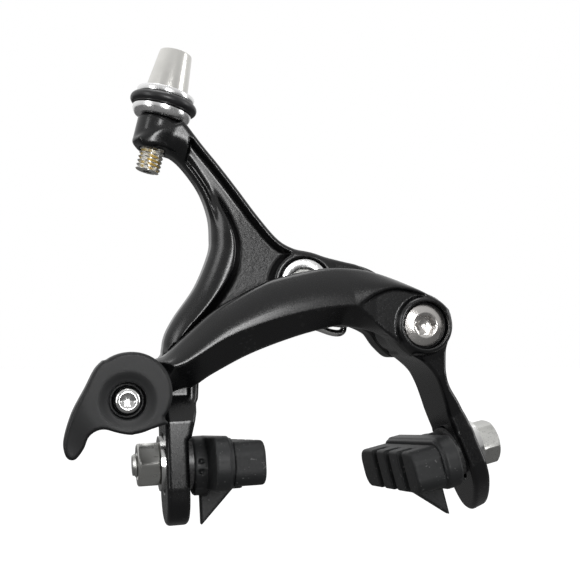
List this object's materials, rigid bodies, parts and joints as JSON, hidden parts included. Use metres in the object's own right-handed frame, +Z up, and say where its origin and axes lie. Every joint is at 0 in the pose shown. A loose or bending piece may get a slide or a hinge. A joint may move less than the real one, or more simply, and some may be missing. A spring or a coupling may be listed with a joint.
{
  "type": "bicycle rim brake caliper",
  "caption": "Dual-pivot side-pull rim brake caliper with quick-release lever, barrel adjuster and two moulded brake shoes.",
  "frame": {"origin": "on the mounting bolt's axis, at the face that bears on the bicycle frame", "axes": "+Y along the mounting bolt towards the bicycle frame, +Z up, +X to the right seen from the front"},
  "size_m": [0.1101, 0.0566, 0.1162],
  "materials": {
    "arm_paint": "satin black over forged aluminium",
    "steel": "zinc-plated steel",
    "stainless": "turned stainless steel",
    "black_steel": "black oxide steel",
    "polished_alloy": "polished aluminium",
    "bronze": "sintered bronze",
    "plastic": "matte black plastic",
    "rubber": "moulded rubber"
  },
  "bodies": {
    "bridge": {"mounting_bolt": "steel", "serrated_washer": "steel", "pivot_bridge": "arm_paint", "centring_screw": "black_steel", "return_spring": "stainless", "side_pivot_bolt": "stainless", "side_pivot_washer": "black_steel", "centre_thrust_washer": "black_steel", "lock_nut_washer": "steel", "centre_lock_nut": "polished_alloy"},
    "rear_arm": {"rear_arm": "arm_paint", "centre_bush": "bronze", "drive_pin": "steel", "drive_roller": "steel", "spring_block": "plastic"},
    "front_arm": {"front_arm": "arm_paint", "side_pivot_bush": "bronze"},
    "lever": {"release_lever": "plastic", "release_cam": "black_steel", "lever_screw": "stainless", "cable_anchor_bolt": "steel", "cable_clamp_washer": "steel"},
    "adjuster_nut": {"adjuster_nut": "polished_alloy", "adjuster_grip_ring": "rubber"},
    "barrel": {"barrel_adjuster": "polished_alloy"},
    "left_hardware": {"left_inner_washer": "steel", "left_outer_washer": "steel", "left_shoe_nut": "steel"},
    "left_shoe": {"left_shoe_backing": "plastic", "left_brake_pad": "rubber", "left_shoe_stud": "steel"},
    "right_hardware": {"right_inner_washer": "steel", "right_outer_washer": "steel", "right_shoe_nut": "steel"},
    "right_shoe": {"right_shoe_backing": "plastic", "right_brake_pad": "rubber", "right_shoe_stud": "steel"}
  },
  "joints": [
    {"name": "rear_arm_pivot", "type": "hinge", "parent": "bridge", "child": "rear_arm", "pos_m": [0, -0.015, 0], "axis": [0, -1, 0], "range_deg": [0, 10], "stiffness_Nm_per_rad": 0.6, "springref_deg": -17.19, "deforming": ["return_spring"]},
    {"name": "front_arm_pivot", "type": "hinge", "parent": "bridge", "child": "front_arm", "pos_m": [0.0275, -0.02, -0.0103], "axis": [0, 1, 0], "range_deg": [0, 12.8]},
    {"name": "release_lever_turn", "type": "hinge", "parent": "front_arm", "child": "lever", "pos_m": [-0.0441, -0.027, -0.0276], "axis": [0, 1, 0], "range_deg": [0, 90]},
    {"name": "adjuster_nut_spin", "type": "hinge", "parent": "rear_arm", "child": "adjuster_nut", "pos_m": [-0.03495, -0.0155, 0.04212], "axis": [0.2233, 0, 0.9748], "range_deg": [0, 2160]},
    {"name": "barrel_lift", "type": "slide", "parent": "rear_arm", "child": "barrel", "axis": [0.2233, 0, 0.9748], "range_m": [0, 0.006]},
    {"name": "left_shoe_height", "type": "slide", "parent": "rear_arm", "child": "left_hardware", "axis": [-0.0436, 0, 0.999], "range_m": [-0.0035, 0.0035]},
    {"name": "left_shoe_angle", "type": "hinge", "parent": "left_hardware", "child": "left_shoe", "pos_m": [-0.0313, -0.016, -0.0432], "axis": [0.999, 0, 0.0436], "range_deg": [-10, 10]},
    {"name": "right_shoe_height", "type": "slide", "parent": "front_arm", "child": "right_hardware", "axis": [-0.4067, 0, 0.9135], "range_m": [-0.0035, 0.0035]},
    {"name": "right_shoe_angle", "type": "hinge", "parent": "right_hardware", "child": "right_shoe", "pos_m": [0.0424, -0.016, -0.0414], "axis": [-0.9724, 0, -0.2334], "range_deg": [-10, 10]}
  ],
  "couplings": [
    {"joint": "front_arm_pivot", "follows": "rear_arm_pivot", "ratio": 1.27},
    {"joint": "adjuster_nut_spin", "follows": "barrel_lift", "rad_per_m": 6283.2}
  ]
}
